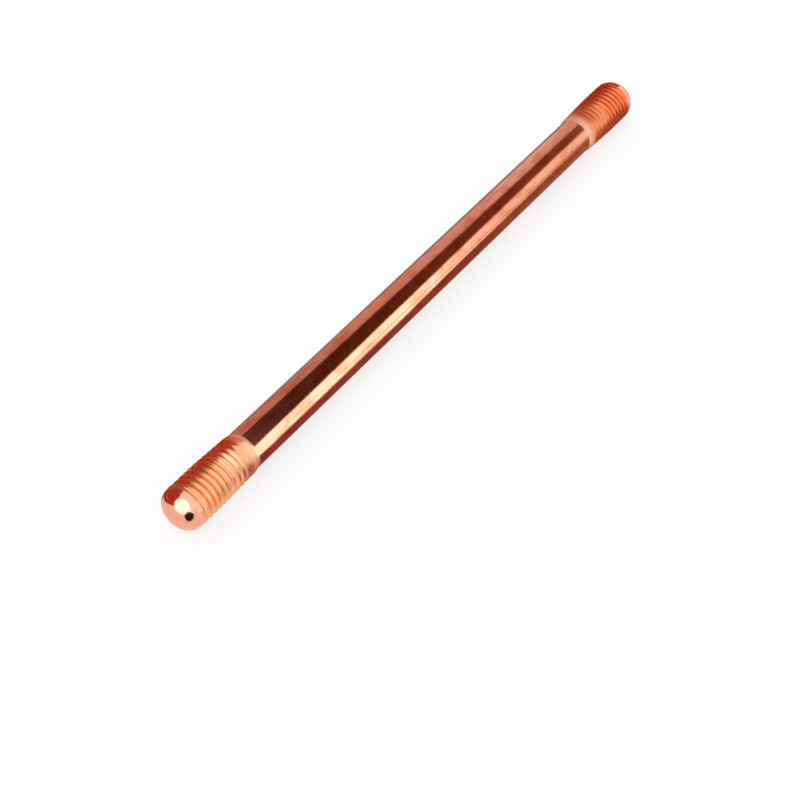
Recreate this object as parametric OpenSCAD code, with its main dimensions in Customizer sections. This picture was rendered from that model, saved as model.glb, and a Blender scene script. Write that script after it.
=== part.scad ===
// Earth rod: a round copper bar with a right-hand screw thread rolled on each end and a rounded tip.
// It lies along X, centred on the origin.

/* [Rod] */
// Overall length from tip to tip
rod_length = 276; // [120:1:3000]
// Diameter of the plain shank between the threads
shank_d = 14; // [13:0.1:14.5]

/* [Thread] */
// Diameter over the crests: five eighths of an inch
thread_d = 15.875; // [15.5:0.005:18]
// Advance in one turn: eleven turns to the inch
thread_pitch = 2.309; // [1.8:0.001:3]
// Length of the threaded stretch between the shoulder and the tip
thread_length = 27; // [18:0.5:45]
// Part of that stretch over which the ridge grows out of the shank
runout_length = 15; // [4:0.5:18]

/* [Shoulder] */
// Length of the smooth cone where the shank meets the thread
shoulder_length = 2.1; // [1:0.1:4]
// How far the cone rises above the shank
shoulder_rise = 0.4; // [0.1:0.05:0.45]

/* [Tip] */
// Radius of the rounded edge around the flat end face
tip_radius = 5.2; // [2:0.1:6.5]

/* [Hidden] */
// Straight steps in one turn of the ridge
turn_steps = 36;
// A 60 degree ridge, flattened at crest and root
thread_depth = thread_pitch * cos(30) * 17 / 24;
crest_flat = thread_pitch / 8;
flank_run = thread_depth * tan(30);
root_flat = thread_pitch - crest_flat - 2 * flank_run;
// Smooth land left between the last ridge and the tip
land = thread_pitch / 10;
// Small step by which each stretch sits inside the end face of the next
seat_step = 0.02;
shank_r = shank_d / 2;
shoulder_r = shank_r + shoulder_rise;
crest_r = thread_d / 2;
tip_r = crest_r * cos(180 / turn_steps) - seat_step;
end_length = shoulder_length + thread_length + tip_radius;
shank_length = rod_length - 2 * end_length;
$fn = 96;

function share(v) = max(0, min(1, v));

// A point of the bar's skin from its step around the axis, its radius and its height
function skin(step, r, z) = [r * cos(360 * step / turn_steps), r * sin(360 * step / turn_steps), z];

// Two triangles that close the four corners of a patch
function patch(a, b, c, d) = [[a, b, c], [a, c, d]];

// Radius over the crests at height z above the shoulder
function crest_at(z) = shoulder_r + (crest_r - shoulder_r) * share(z / runout_length);

// Depth of the groove at height z: it deepens along the run-out and fades over the last turn
function groove_at(z, first) =
    thread_depth * min(share((z - first) / runout_length), share((thread_length - land - z) / thread_pitch));

// Threaded stretch standing on the XY plane: columns of points that climb one pitch in each turn,
// closed by a plain ring of points at the foot and at the head
module screw_thread() {
    rows = [0, crest_flat, crest_flat + flank_run, crest_flat + flank_run + root_flat];
    in_groove = [0, 0, 1, 1];
    n = len(rows);
    turns = floor((thread_length - 2 * land - crest_flat) / thread_pitch) - 1;
    first = thread_length - land - crest_flat - thread_pitch * (turns + 1 - 1 / turn_steps);
    col = n * turns + 2;
    last = turn_steps - 1;
    foot = turn_steps * col;
    head = foot + turn_steps;
    points = [
        for (k = [0:last], j = [0:col - 1])
            let (z = first + thread_pitch * (floor(j / n) + k / turn_steps) + rows[j % n])
            skin(k, crest_at(z) - in_groove[j % n] * groove_at(z, first), z),
        for (k = [0:last]) skin(k, shoulder_r - seat_step, 0),
        for (k = [0:last]) skin(k, crest_r, thread_length)
    ];
    faces = [
        // Ridge and groove, column by column, then across the seam one turn higher
        for (k = [0:last - 1], j = [0:col - 2])
            let (a = k * col + j)
            each patch(a, a + 1, a + col + 1, a + col),
        for (j = [0:col - n - 2])
            let (a = last * col + j)
            each patch(a, a + 1, n + j + 1, n + j),
        // Foot: from the plain ring up to the lowest point of each column
        for (k = [0:last - 1]) each patch(foot + k, k * col, (k + 1) * col, foot + k + 1),
        each patch(foot + last, last * col, 0, foot),
        for (j = [0:n - 1]) [last * col, j + 1, j],
        // Head: from the highest point of each column up to the plain ring
        for (k = [0:last - 1]) each patch((k + 1) * col - 1, head + k, head + k + 1, (k + 2) * col - 1),
        each patch(turn_steps * col - 1, head + last, head, col - 1),
        for (j = [0:n - 1]) [col - 1, turn_steps * col - 1 - n + j, turn_steps * col - n + j],
        [for (k = [0:last]) foot + k],
        [for (k = [0:last]) head + last - k]
    ];
    polyhedron(points, faces, convexity = 10);
}

// Rounded tip with a flat end face, standing on the XY plane
module tip() {
    rotate_extrude()
        union() {
            square([tip_r - tip_radius, tip_radius]);
            intersection() {
                translate([tip_r - tip_radius, 0])
                    circle(tip_radius);
                square([tip_r, tip_radius]);
            }
        }
}

// One end of the bar, from the shank outwards along Z
module bar_end() {
    cylinder(r1 = shank_r, r2 = shoulder_r, h = shoulder_length);
    translate([0, 0, shoulder_length])
        screw_thread();
    translate([0, 0, shoulder_length + thread_length])
        tip();
}

module earth_rod() {
    color([0.8, 0.43, 0.3])
        union() {
            rotate([0, 90, 0])
                cylinder(r = shank_r, h = shank_length, center = true);
            for (half_turn = [0, 180])
                rotate([0, 90, half_turn])
                    translate([0, 0, shank_length / 2])
                        bar_end();
        }
}

earth_rod();
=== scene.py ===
"""Looks of the earth rod: a drawn copper bar with a screw thread rolled on each end, on a white floor."""
import math

import bpy
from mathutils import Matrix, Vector


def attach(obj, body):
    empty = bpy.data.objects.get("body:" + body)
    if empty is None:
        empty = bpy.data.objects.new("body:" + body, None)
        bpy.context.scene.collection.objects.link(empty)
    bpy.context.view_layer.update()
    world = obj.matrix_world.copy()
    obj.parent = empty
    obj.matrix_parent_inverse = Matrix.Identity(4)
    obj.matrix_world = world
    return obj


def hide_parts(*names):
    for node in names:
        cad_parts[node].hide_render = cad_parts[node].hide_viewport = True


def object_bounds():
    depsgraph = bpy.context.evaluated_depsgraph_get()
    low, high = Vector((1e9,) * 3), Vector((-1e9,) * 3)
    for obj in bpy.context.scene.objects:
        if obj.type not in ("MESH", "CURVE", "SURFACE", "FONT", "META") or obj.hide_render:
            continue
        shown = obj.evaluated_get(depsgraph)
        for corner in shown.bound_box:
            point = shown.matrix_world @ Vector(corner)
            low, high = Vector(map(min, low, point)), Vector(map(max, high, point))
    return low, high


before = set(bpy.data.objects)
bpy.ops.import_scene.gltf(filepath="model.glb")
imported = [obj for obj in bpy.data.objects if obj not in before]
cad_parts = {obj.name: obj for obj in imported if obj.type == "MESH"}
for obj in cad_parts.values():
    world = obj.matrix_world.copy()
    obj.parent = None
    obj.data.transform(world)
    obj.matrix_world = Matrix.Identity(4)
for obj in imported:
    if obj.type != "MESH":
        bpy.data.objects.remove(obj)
cad_box = [list(corner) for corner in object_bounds()]
scene = bpy.context.scene
scene.view_settings.view_transform = "Standard"

# Sizes of the rod in metres: its length and crest from the frame, the rest as in the solid
HALF_LENGTH = cad_box[1][0]
CREST_R = cad_box[1][2]
SHANK_R = 0.0070
PITCH = 0.002309
THREAD = 0.0270
RUNOUT = 0.0150
SHOULDER = 0.0021
SHOULDER_RISE = 0.0004
TIP_RADIUS = 0.0052
TURN_STEPS = 36
SEAT_STEP = 0.00002
DEPTH = PITCH * math.cos(math.radians(30)) * 17 / 24
CREST_FLAT = PITCH / 8
FLANK = DEPTH * math.tan(math.radians(30))
LAND = PITCH / 10
TURNS = math.floor((THREAD - 2 * LAND - CREST_FLAT) / PITCH) - 1
FIRST = THREAD - LAND - CREST_FLAT - PITCH * (TURNS + 1 - 1 / TURN_STEPS)
SHANK_HALF = HALF_LENGTH - TIP_RADIUS - THREAD - SHOULDER
TIP_BASE = CREST_R * math.cos(math.pi / TURN_STEPS) - SEAT_STEP
FLOOR_Z = -CREST_R
# Share of a turn at which the upper end's helix starts
START_TURN = 0.25
# How much the thread's corners and the cone's ends are softened, from 0 to 1
SOFT_CORNER = 0.55
SOFT_CONE = 0.2

# Columns of points round the bar, and points along a column
COLUMNS = 112
POINTS_PER_PITCH = 24
SHOULDER_POINTS = 10
PLAIN_STEP = 0.0003
TIP_POINTS = 16
SHANK_POINTS = 24
EDGE = 0.0003


def share(value):
    return max(0.0, min(1.0, value))


def ease(value):
    value = share(value)
    return value * value * (3 - 2 * value)


def groove(phase):
    """Depth of the rolled form at a phase of the turn, from 0 on the crest to 1 in the root."""
    from_crest = abs(((phase - 0.5 * CREST_FLAT / PITCH + 0.5) % 1.0) - 0.5) * PITCH
    run = share((from_crest - CREST_FLAT / 2) / FLANK)
    return (1 - SOFT_CORNER) * run + SOFT_CORNER * ease(run)


def thread_radius(z, turn):
    """Radius of the bar at height z above the shoulder and at a share of a turn round it."""
    foot = SHANK_R + SHOULDER_RISE
    crest = foot + (CREST_R - foot) * share(z / RUNOUT)
    depth = DEPTH * min(share((z - FIRST) / RUNOUT), share((THREAD - LAND - z) / PITCH))
    return crest - depth * groove((z - FIRST) / PITCH - turn)


def end_column(turn):
    """Points of one column of a bar end, as distance out from the shank and radius."""
    points = []
    for i in range(1, SHOULDER_POINTS):
        s = i / SHOULDER_POINTS
        rise = (1 - SOFT_CONE) * s + SOFT_CONE * ease(s)
        points.append((SHOULDER * s, SHANK_R + SHOULDER_RISE * rise))
    # The points along the thread climb with the helix, so that a ridge follows one row of them
    low = FIRST + PITCH * turn
    rows = math.floor((THREAD - LAND - low) / PITCH * POINTS_PER_PITCH)
    heights = [PLAIN_STEP * i for i in range(math.ceil(low / PLAIN_STEP))]
    heights += [low + PITCH * i / POINTS_PER_PITCH for i in range(rows + 1)]
    points += [(SHOULDER + z, thread_radius(z, turn)) for z in heights]
    for i in range(TIP_POINTS + 1):
        a = math.pi / 2 * i / TIP_POINTS
        points.append((SHOULDER + THREAD + TIP_RADIUS * math.sin(a),
                       TIP_BASE - TIP_RADIUS + TIP_RADIUS * math.cos(a)))
    return points


def bar_column(k):
    """Points (x, radius) of one column of the whole bar, from the lower tip to the upper one."""
    turn = k / COLUMNS
    lower = [(-SHANK_HALF - out, r) for out, r in reversed(end_column((1.0 - START_TURN - turn) % 1.0))]
    inner = SHANK_HALF - EDGE
    spread = [inner * (2 * i / SHANK_POINTS - 1) for i in range(SHANK_POINTS + 1)]
    middle = [(x, SHANK_R) for x in (-SHANK_HALF, *spread, SHANK_HALF)]
    upper = [(SHANK_HALF + out, r) for out, r in end_column((turn + START_TURN) % 1.0)]
    return lower + middle + upper


def stitch(a, b, along):
    """Triangles between two neighbouring columns of point numbers, in order along the bar."""
    i = j = 0
    while i < len(a) - 1 or j < len(b) - 1:
        step_a = j == len(b) - 1 or (i < len(a) - 1 and along[a[i + 1]] <= along[b[j + 1]])
        if step_a:
            yield a[i], b[j], a[i + 1]
            i += 1
        else:
            yield a[i], b[j], b[j + 1]
            j += 1


def make_bar():
    """The whole bar as one closed skin of columns from tip to tip."""
    verts = [(-HALF_LENGTH, 0.0, 0.0), (HALF_LENGTH, 0.0, 0.0)]
    columns = []
    for k in range(COLUMNS):
        angle = 2 * math.pi * k / COLUMNS
        column = bar_column(k)
        columns.append(range(len(verts), len(verts) + len(column)))
        verts += [(x, r * math.cos(angle), r * math.sin(angle)) for x, r in column]
    along = [v[0] for v in verts]
    faces = []
    for k in range(COLUMNS):
        here, there = columns[k], columns[(k + 1) % COLUMNS]
        faces += stitch(here, there, along)
        faces.append((0, there[0], here[0]))
        faces.append((1, here[-1], there[-1]))
    mesh = bpy.data.meshes.new("copper_bar")
    mesh.from_pydata(verts, [], faces)
    mesh.validate()
    mesh.shade_smooth()
    bar = bpy.data.objects.new("copper_bar", mesh)
    scene.collection.objects.link(bar)
    return bar


class Nodes:
    """Short calls for laying out a material's node tree."""

    def __init__(self, material):
        material.use_nodes = True
        self.tree = material.node_tree
        self.tree.nodes.clear()

    def add(self, kind, inputs=None, **settings):
        node = self.tree.nodes.new(kind)
        for key, value in settings.items():
            setattr(node, key, value)
        for key, value in (inputs or {}).items():
            self.put(node.inputs[key], value)
        return node

    def put(self, socket, value):
        if isinstance(value, bpy.types.NodeSocket):
            self.tree.links.new(value, socket)
        else:
            socket.default_value = value

    def math(self, operation, *values, clamp=False):
        node = self.add("ShaderNodeMath", operation=operation, use_clamp=clamp)
        for i, value in enumerate(values):
            self.put(node.inputs[i], value)
        return node.outputs[0]

    def ramp(self, value, low, high, to_low=0.0, to_high=1.0):
        """A smooth rise from to_low to to_high while the value goes from low to high."""
        node = self.add("ShaderNodeMapRange", interpolation_type="SMOOTHSTEP")
        for i, v in enumerate((value, low, high, to_low, to_high)):
            self.put(node.inputs[i], v)
        return node.outputs[0]

    def between(self, value, low, high, soft):
        """1 between low and high, with soft edges."""
        rise = self.ramp(value, low - soft, low + soft)
        fall = self.ramp(value, high - soft, high + soft, 1.0, 0.0)
        return self.math("MULTIPLY", rise, fall)

    def mix(self, factor, a, b):
        node = self.add("ShaderNodeMix", data_type="RGBA")
        for i, v in ((0, factor), (6, a), (7, b)):
            self.put(node.inputs[i], v)
        return node.outputs[2]

    def lay(self, under, over, mask, strength):
        """Lay one colour over another where a mask is 1, at a given strength."""
        return self.mix(self.math("MULTIPLY", mask, strength), under, over)

    def noise(self, vector, scale, detail=3.0, rough=0.5):
        node = self.add("ShaderNodeTexNoise", {
            "Vector": vector, "Scale": scale, "Detail": detail, "Roughness": rough,
        })
        return node.outputs[0]

    def vector(self, operation, *values):
        node = self.add("ShaderNodeVectorMath", operation=operation)
        for i, value in enumerate(values):
            self.put(node.inputs[i], value)
        return node.outputs["Value" if operation in ("LENGTH", "DOT_PRODUCT") else "Vector"]

    def seen(self):
        """1 for what the camera sees directly, in a reflection or through glass."""
        path = self.add("ShaderNodeLightPath")
        direct = self.math("MAXIMUM", path.outputs["Is Camera Ray"], path.outputs["Is Glossy Ray"])
        return self.math("MAXIMUM", direct, path.outputs["Is Transmission Ray"])


# Colours of the copper: the drawn bar, its stains and flecks, and the ends with their painted light and
# shade, lower end first
DRAWN_PALE = (0.86, 0.36, 0.22, 1)
DRAWN_DEEP = (0.76, 0.27, 0.15, 1)
STAINED = (0.56, 0.15, 0.06, 1)
FLECKED = (0.55, 0.17, 0.09, 1)
# Painted light: the tip is lighter than the bar, to brighten its reflection over the floor's shade
TIP_PAINTED_LIGHT = (0.94, 0.47, 0.33, 1)
# The thread's copper tone at the lower end; the upper end's darker, redder value is painted shade
THREAD_TONE_AND_SHADE = (0.90, 0.42, 0.21, 1), (0.79, 0.18, 0.062, 1)
# Painted light: the thread roots are lightened to offset the shade between the ridges
ROOT_PAINTED_LIGHT = (0.98, 0.68, 0.44, 1), (0.88, 0.36, 0.17, 1)
# Painted highlight: a pale ring where the shank meets the thread
SHOULDER_PAINTED_HIGHLIGHT = (0.96, 0.60, 0.40, 1), (0.97, 0.65, 0.49, 1)
# Added roughness, lower end first: at the start of the run-out, on the full thread, and on the shoulder
RUNOUT_DULL = 0.12, 0.28
THREAD_DULL = 0.13, 0.20
SHOULDER_DULL = 0.40, 0.70
ROOT_DULL = 0.10
# Half the stretch over which the lower end's values pass over into the upper end's
END_BLEND = 0.08
# Radius below which the roots' painted light is full, and above which it has gone
ROOT_FULL = 0.0066
ROOT_GONE = 0.0076


def copper():
    material = bpy.data.materials.new("copper")
    n = Nodes(material)
    place = n.add("ShaderNodeTexCoord").outputs["Object"]
    x = n.add("ShaderNodeSeparateXYZ", {0: place}).outputs[0]
    out = n.math("SUBTRACT", n.math("ABSOLUTE", x), SHANK_HALF)
    radius = n.vector("LENGTH", n.vector("MULTIPLY", place, (0.0, 1.0, 1.0)))
    upper_end = n.ramp(x, -END_BLEND, END_BLEND)

    def by_end(lower, upper):
        return n.ramp(x, -END_BLEND, END_BLEND, lower, upper)

    # Masks by the distance out from the shank: shoulder, thread with its roots, and tip
    threaded = n.ramp(out, 0.0012, 0.0030)
    at_tip = n.ramp(out, SHOULDER + THREAD - 0.0004, SHOULDER + THREAD + 0.0008)
    in_thread = n.math("MULTIPLY", threaded, n.math("SUBTRACT", 1.0, at_tip))
    root = n.math("MULTIPLY", in_thread, n.ramp(radius, ROOT_FULL, ROOT_GONE, 1.0, 0.0))
    shoulder = n.math("MULTIPLY", n.ramp(out, -0.0005, 0.0003), n.ramp(out, 0.0015, 0.0055, 1.0, 0.0))

    # Colour: warm drawn copper, clouded in long soft patches with browner stains, redder in the thread;
    # at the ends painted light and shade: a lighter tip, lightened roots, a painted highlight on the
    # shoulder, and painted shade on the upper thread
    cloud = n.noise(n.vector("MULTIPLY", place, (18.0, 130.0, 130.0)), 1.0, 4.0, 0.55)
    stain = n.noise(n.vector("MULTIPLY", place, (110.0, 260.0, 260.0)), 1.0, 3.0, 0.6)
    fleck = n.noise(place, 1400.0, 2.0, 0.6)
    colour = n.mix(n.ramp(cloud, 0.35, 0.68), DRAWN_PALE, DRAWN_DEEP)
    colour = n.lay(colour, STAINED, n.ramp(stain, 0.42, 0.66), 0.6)
    colour = n.lay(colour, FLECKED, n.ramp(fleck, 0.58, 0.74), 0.2)
    # Thread colour, painted darker and redder at the upper end as painted shade
    colour = n.lay(colour, n.mix(upper_end, *THREAD_TONE_AND_SHADE), in_thread, 0.85)
    # Painted light: the tip is laid over with its lighter colour
    colour = n.lay(colour, TIP_PAINTED_LIGHT, at_tip, 0.8)
    # Painted light in the roots, against their shade
    colour = n.lay(colour, n.mix(upper_end, *ROOT_PAINTED_LIGHT), root, 0.85)
    # Painted highlight on the shoulder ring, which is also made rougher
    colour = n.lay(colour, n.mix(upper_end, *SHOULDER_PAINTED_HIGHLIGHT), shoulder, 0.85)

    # Gloss: bright along the shank with faint die lines, duller where the thread was rolled
    lines = n.noise(n.vector("MULTIPLY", place, (6.0, 1900.0, 1900.0)), 1.0, 3.0, 0.6)
    haze = n.noise(n.vector("MULTIPLY", place, (30.0, 160.0, 160.0)), 1.0, 3.0, 0.5)
    rough = n.math("ADD", n.math("MULTIPLY", lines, 0.07), n.math("MULTIPLY", haze, 0.10))
    rough = n.math("ADD", rough, 0.04)
    dull = n.ramp(out, SHOULDER, SHOULDER + RUNOUT, by_end(*RUNOUT_DULL), by_end(*THREAD_DULL))
    for mask, added in ((in_thread, dull), (root, ROOT_DULL), (shoulder, by_end(*SHOULDER_DULL))):
        rough = n.math("ADD", rough, n.math("MULTIPLY", mask, added), clamp=True)

    grain = n.noise(place, 2600.0, 3.0, 0.6)
    relief = n.math("ADD", n.math("MULTIPLY", lines, 0.7), n.math("MULTIPLY", grain, 0.2))
    bump = n.add("ShaderNodeBump", {"Height": relief, "Strength": 0.12, "Distance": 0.00004})

    shader = n.add("ShaderNodeBsdfPrincipled", {
        "Base Color": colour, "Metallic": 1.0, "Roughness": rough, "Normal": bump.outputs[0],
    })
    n.add("ShaderNodeOutputMaterial", {"Surface": shader.outputs[0]})
    return material


bar = make_bar()
bar.data.materials.append(copper())
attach(bar, "root")
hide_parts("earth_rod")


def panel(name, verts, faces):
    mesh = bpy.data.meshes.new(name)
    mesh.from_pydata(verts, [], faces)
    obj = bpy.data.objects.new(name, mesh)
    scene.collection.objects.link(obj)
    return obj


def lying(name, x0, x1, y0, y1, z):
    return panel(name, [(x0, y0, z), (x1, y0, z), (x1, y1, z), (x0, y1, z)], [(0, 1, 2, 3)])


def strip(count):
    """Faces of a band of point pairs, one after another."""
    return [(2 * i, 2 * i + 1, 2 * i + 3, 2 * i + 2) for i in range(count)]


# Floor: plain white, with the shadow kept faint
FLOOR_HALF = 6
FLOOR_LIFT = 0.78
WHITE = (1, 1, 1, 1)
floor = lying("floor", -FLOOR_HALF, FLOOR_HALF, -FLOOR_HALF, FLOOR_HALF, FLOOR_Z)
white = bpy.data.materials.new("floor_white")
n = Nodes(white)
paint = n.add("ShaderNodeBsdfDiffuse", {"Color": (0.93, 0.93, 0.93, 1)})
glow = n.add("ShaderNodeEmission", {"Color": WHITE, "Strength": 1.0})
lift = n.math("MULTIPLY", n.seen(), FLOOR_LIFT)
lifted = n.add("ShaderNodeMixShader", {0: lift, 1: paint.outputs[0], 2: glow.outputs[0]})
n.add("ShaderNodeOutputMaterial", {"Surface": lifted.outputs[0]})
floor.data.materials.append(white)

# World: white to the camera and in reflections
world = bpy.data.worlds.new("studio")
scene.world = world
n = Nodes(world)
dome = n.add("ShaderNodeBackground", {"Color": WHITE, "Strength": 0.85})
pale = n.add("ShaderNodeBackground", {"Color": WHITE, "Strength": 1.0})
both = n.add("ShaderNodeMixShader", {0: n.seen(), 1: dome.outputs[0], 2: pale.outputs[0]})
n.add("ShaderNodeOutputWorld", {"Surface": both.outputs[0]})

sun = bpy.data.lights.new("sun", "SUN")
sun.energy = 0.8
sun.angle = math.radians(70)
lamp = bpy.data.objects.new("sun", sun)
lamp.rotation_euler = (math.radians(-20), math.radians(-15), 0)
lamp.visible_glossy = False
scene.collection.objects.link(lamp)


def mirrored(obj, paint):
    """Give a stage panel a glow that shows only as a reflection in the metal."""
    obj.visible_camera = False
    obj.visible_diffuse = False
    obj.visible_shadow = False
    obj.visible_transmission = False
    material = bpy.data.materials.new(obj.name)
    n = Nodes(material)
    place = n.add("ShaderNodeSeparateXYZ", {0: n.add("ShaderNodeTexCoord").outputs["Object"]}).outputs
    glow = n.add("ShaderNodeEmission", {"Color": paint(n, *place), "Strength": 1.0})
    n.add("ShaderNodeOutputMaterial", {"Surface": glow.outputs[0]})
    obj.data.materials.append(material)


# Light tent: a half tunnel round the bar, dark overhead, bright on the front and dim behind
TENT_R = 0.6
TENT_HALF = 1.6
TENT_STEPS = 60
# Distances from the middle: the stretch that the shank mirrors, and those over which its bands change
SHANK_ZONE = 0.238, 0.79
BANDS = 0.28, 0.715
BACK_BANDS = 0.15, 0.75
# Degrees up from the front where the dark starts and ends, and its soft edges, near value first
DARK_START = 34.5, 45.0
DARK_END = 128.0, 98.0
SOFTNESS = 3.5, 9.0
# Colours, near value first
FRONT_NEAR = (2.0, 2.64, 2.95, 1)
FRONT_FAR = (1.3, 1.5, 1.6, 1)
FRONT_BEYOND_TIP = (0.95, 0.95, 0.95, 1)
OVERHEAD = (0.07, 0.02, 0.008, 1), (0.22, 0.068, 0.026, 1)
BACK = (0.60, 0.38, 0.36, 1), (0.90, 0.80, 0.85, 1)
ENDS = (1.05, 1.05, 1.05, 1), (1.35, 1.3, 1.3, 1)
RED = (0.42, 0.05, 0.022, 1)
DIM = (0.30, 0.12, 0.08, 1)


def tent_colour(n, x, y, z):
    away = n.math("ABSOLUTE", x)
    upper_side = n.ramp(x, -0.2, 0.0)
    turn = n.math("DEGREES", n.math("ARCTAN2", z, n.math("MULTIPLY", y, -1.0)))
    far = n.ramp(away, *BANDS)
    soft = n.ramp(away, *BANDS, *SOFTNESS)
    low = n.ramp(away, *BANDS, *DARK_START)
    high = n.ramp(away, *BACK_BANDS, *DARK_END)
    above = n.ramp(turn, n.math("SUBTRACT", low, soft), n.math("ADD", low, soft))
    behind = n.ramp(turn, n.math("SUBTRACT", high, soft), n.math("ADD", high, soft))
    front = n.mix(n.ramp(away, 0.46, 0.58), FRONT_NEAR, FRONT_FAR)
    front = n.mix(upper_side, FRONT_BEYOND_TIP, front)
    back = n.mix(upper_side, RED, n.mix(far, *BACK))
    along_shank = n.mix(behind, n.mix(above, front, n.mix(far, *OVERHEAD)), back)
    ends = n.mix(n.ramp(away, 0.4, 0.7), *ENDS)
    past_ends = n.mix(n.ramp(turn, 110.0, 123.0), ends, DIM)
    return n.mix(n.between(away, *SHANK_ZONE, 0.010), past_ends, along_shank)


def make_tent():
    angles = [math.pi * i / TENT_STEPS for i in range(TENT_STEPS + 1)]
    rim = [(-TENT_R * math.cos(a), TENT_R * math.sin(a)) for a in angles]
    verts = [(x, y, z) for y, z in rim for x in (-TENT_HALF, TENT_HALF)]
    return panel("tent", verts, strip(TENT_STEPS))


mirrored(make_tent(), tent_colour)

# What the lower tip mirrors: a bright patch, and a dark spot that fills a cone of directions
GLOW = (2.4, 2.4, 2.4, 1)
SPOT_COLOUR = (0.01, 0.004, 0.002, 1)
SPOT_APEX = (-0.1362, 0.0032, 0.0039)
SPOT_AXIS = (-0.740, -0.629, -0.237)
SPOT_ANGLE = 22.8
SPOT_SOFT = 2.0


def with_spot(n, x, y, z, around):
    """Lay the dark spot over the colour around it."""
    place = n.add("ShaderNodeCombineXYZ", {0: x, 1: y, 2: z}).outputs[0]
    ray = n.vector("NORMALIZE", n.vector("SUBTRACT", place, SPOT_APEX))
    angle = n.math("DEGREES", n.math("ARCCOSINE", n.vector("DOT_PRODUCT", ray, SPOT_AXIS)))
    spot = n.ramp(angle, SPOT_ANGLE - SPOT_SOFT, SPOT_ANGLE + SPOT_SOFT, 1.0, 0.0)
    return n.mix(spot, around, SPOT_COLOUR)


# Floor card: bright in front and dark red close to the foot as a painted shadow seen only in the metal,
# dim behind, pale round the lower tip
CARD_Z = FLOOR_Z + 0.0005
CARD_UPPER = (0.82, 0.76, 0.76, 1)
# Painted shadow: the dark red by the foot stands for the floor's shade under the bar, as the metal
# mirrors it
FOOT_PAINTED_SHADOW = (0.30, 0.10, 0.08, 1), (0.45, 0.22, 0.13, 1)
CARD_BACK = (0.38, 0.34, 0.33, 1)
PALE = (0.97, 0.88, 0.83, 1)
# The bright patch on the floor: where its wedge starts, its middle line, and its half width by length
WEDGE_X = -0.152
WEDGE_Y = 0.0058
WEDGE_SLOPE = 0.57


def card_colour(n, x, y, z):
    bright = n.mix(n.ramp(x, 0.03, 0.16), FRONT_NEAR, CARD_UPPER)
    # Painted shadow of the floor next to the bar
    dark = n.mix(n.ramp(x, 0.0, 0.13), *FOOT_PAINTED_SHADOW)
    edge = n.math("ADD", n.ramp(x, -0.100, -0.086, -0.060, -0.027), n.ramp(x, -0.02, 0.06, 0.0, -0.016))
    front = n.mix(n.ramp(n.math("SUBTRACT", y, edge), -0.008, 0.008), bright, dark)
    past_tip = n.math("SUBTRACT", x, n.ramp(y, -0.10, -0.05, 0.03, 0.0))
    front = n.mix(n.ramp(past_tip, -0.120, -0.100), PALE, front)
    back = n.mix(n.ramp(x, -0.10, -0.07), RED, CARD_BACK)
    by_tip = n.math("MULTIPLY", n.ramp(x, -0.134, -0.128, 1.0, 0.0), n.ramp(y, 0.025, 0.045, 1.0, 0.0))
    back = n.mix(by_tip, back, PALE)
    blend = n.ramp(x, 0.136, 0.15, 0.001, 0.03)
    around = n.mix(n.ramp(y, n.math("MULTIPLY", blend, -1.0), blend), front, back)
    # The bright patch runs on over the floor as a wedge that opens away from the tip
    reach = n.math("MULTIPLY", n.math("SUBTRACT", WEDGE_X, x), WEDGE_SLOPE)
    aside = n.math("ABSOLUTE", n.math("SUBTRACT", y, WEDGE_Y))
    patch = n.ramp(n.math("SUBTRACT", reach, aside), -0.0005, 0.0015)
    return with_spot(n, x, y, z, n.mix(patch, around, GLOW))


mirrored(lying("floor_card", -0.9, 0.9, -0.9, 0.55, CARD_Z), card_colour)

# Arched panel beyond the lower tip
ARCH_R = 0.25
ARCH_STEPS = 24
ARCH_SIDES = -0.5, 0.35
ARCH_FOOT = math.radians(-2)
ARCH_TOP = math.radians(112)
ARCH_PALE = (1.2, 1.2, 1.2, 1)
# The bright patch on the arch, an oval: its middle and half sizes, across in metres and up in degrees
OVAL_Y = -0.055
OVAL_UP = 20.0
OVAL_HALF_Y = 0.188
OVAL_HALF_UP = 50.0


def make_arch():
    verts = []
    for i in range(ARCH_STEPS + 1):
        a = ARCH_FOOT + (ARCH_TOP - ARCH_FOOT) * i / ARCH_STEPS
        verts += [(-HALF_LENGTH - ARCH_R * math.cos(a), y, ARCH_R * math.sin(a)) for y in ARCH_SIDES]
    return panel("arch", verts, strip(ARCH_STEPS))


def arch_colour(n, x, y, z):
    around = n.mix(n.ramp(y, 0.075, 0.105), ARCH_PALE, RED)
    height = n.math("DEGREES", n.math("ARCTAN2", z, n.math("SUBTRACT", -HALF_LENGTH, x)))
    across = n.math("DIVIDE", n.math("SUBTRACT", y, OVAL_Y), OVAL_HALF_Y)
    up = n.math("DIVIDE", n.math("SUBTRACT", height, OVAL_UP), OVAL_HALF_UP)
    oval = n.math("SQRT", n.math("ADD", n.math("MULTIPLY", across, across), n.math("MULTIPLY", up, up)))
    patch = n.ramp(oval, 0.96, 1.04, 1.0, 0.0)
    return with_spot(n, x, y, z, n.mix(patch, around, GLOW))


mirrored(make_arch(), arch_colour)

# Ring cards: the threads mirror these in place of the arch and the tent
RING_INNER = 0.0081
RING_STEPS = 48
RING_FADE = 0.009
LINE_SOFT = 0.0006
START_SOFT = 0.0005


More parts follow.
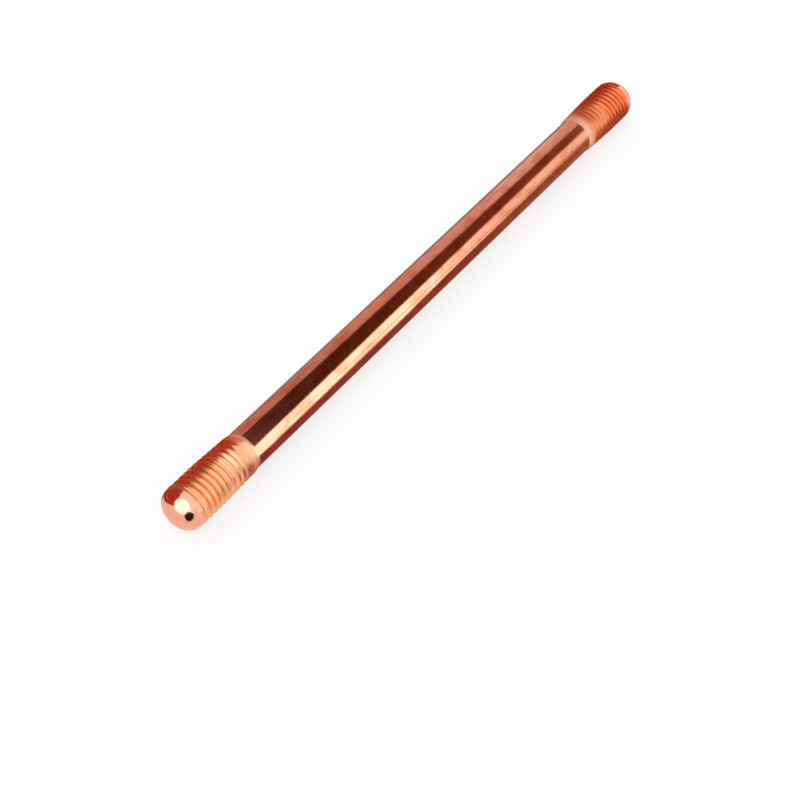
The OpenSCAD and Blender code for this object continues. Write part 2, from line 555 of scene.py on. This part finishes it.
def ring_card(name, x, outer, start, slope, light, low, top, red):
    """A ring round the bar: pale above the height top, the colour low further down, and red behind.

    The red lies below a line that leaves the thread's top at y = start and rises backwards by slope.
    """
    angles = [2 * math.pi * i / RING_STEPS for i in range(RING_STEPS)]
    verts = [(x, r * math.cos(a), r * math.sin(a)) for a in angles for r in (RING_INNER, outer)]
    faces = [tuple(point % len(verts) for point in face) for face in strip(RING_STEPS)]

    def colour(n, _, y, z):
        pale = n.mix(n.ramp(z, top - RING_FADE, top), low, (light, light, light, 1))
        line = n.math("MULTIPLY_ADD", n.math("SUBTRACT", y, start), slope, CREST_R)
        under = n.ramp(n.math("SUBTRACT", z, line), -LINE_SOFT, LINE_SOFT, 1.0, 0.0)
        behind = n.math("MULTIPLY", under, n.ramp(y, start - START_SOFT, start + START_SOFT))
        return n.mix(behind, pale, red)

    mirrored(panel(name, verts, faces), colour)


ring_card("tip_ring", x=-HALF_LENGTH + 0.0040, outer=0.0245, start=-0.0016, slope=1.1,
          light=1.15, low=(0.92, 0.82, 0.78, 1), top=0.003, red=RED)
ring_card("shoulder_ring", x=-SHANK_HALF + 0.0001, outer=0.040, start=-0.0022, slope=3.0,
          light=1.08, low=(0.50, 0.16, 0.10, 1), top=0.006, red=RED)
ring_card("upper_ring", x=HALF_LENGTH + 0.0005, outer=0.036, start=-0.0026, slope=6.0,
          light=1.25, low=(0.62, 0.30, 0.24, 1), top=0.003, red=(0.52, 0.10, 0.045, 1))

# Camera at the photograph's angle: where it stands, and its heading and tilt
CAMERA_AT = (-0.41496, -0.27463, 0.41739)
HEADING = math.radians(34.477)
TILT = math.radians(43.745)
camera = bpy.data.cameras.new("camera")
camera.sensor_width = 36.0
camera.lens = 82.636
camera.clip_start = 0.01
camera.clip_end = 50.0
view = bpy.data.objects.new("camera", camera)
view.location = CAMERA_AT
forward = Vector((
    math.cos(HEADING) * math.cos(TILT),
    math.sin(HEADING) * math.cos(TILT),
    -math.sin(TILT),
))
view.rotation_mode = "QUATERNION"
view.rotation_quaternion = forward.to_track_quat("-Z", "Y")
scene.collection.objects.link(view)
scene.camera = view
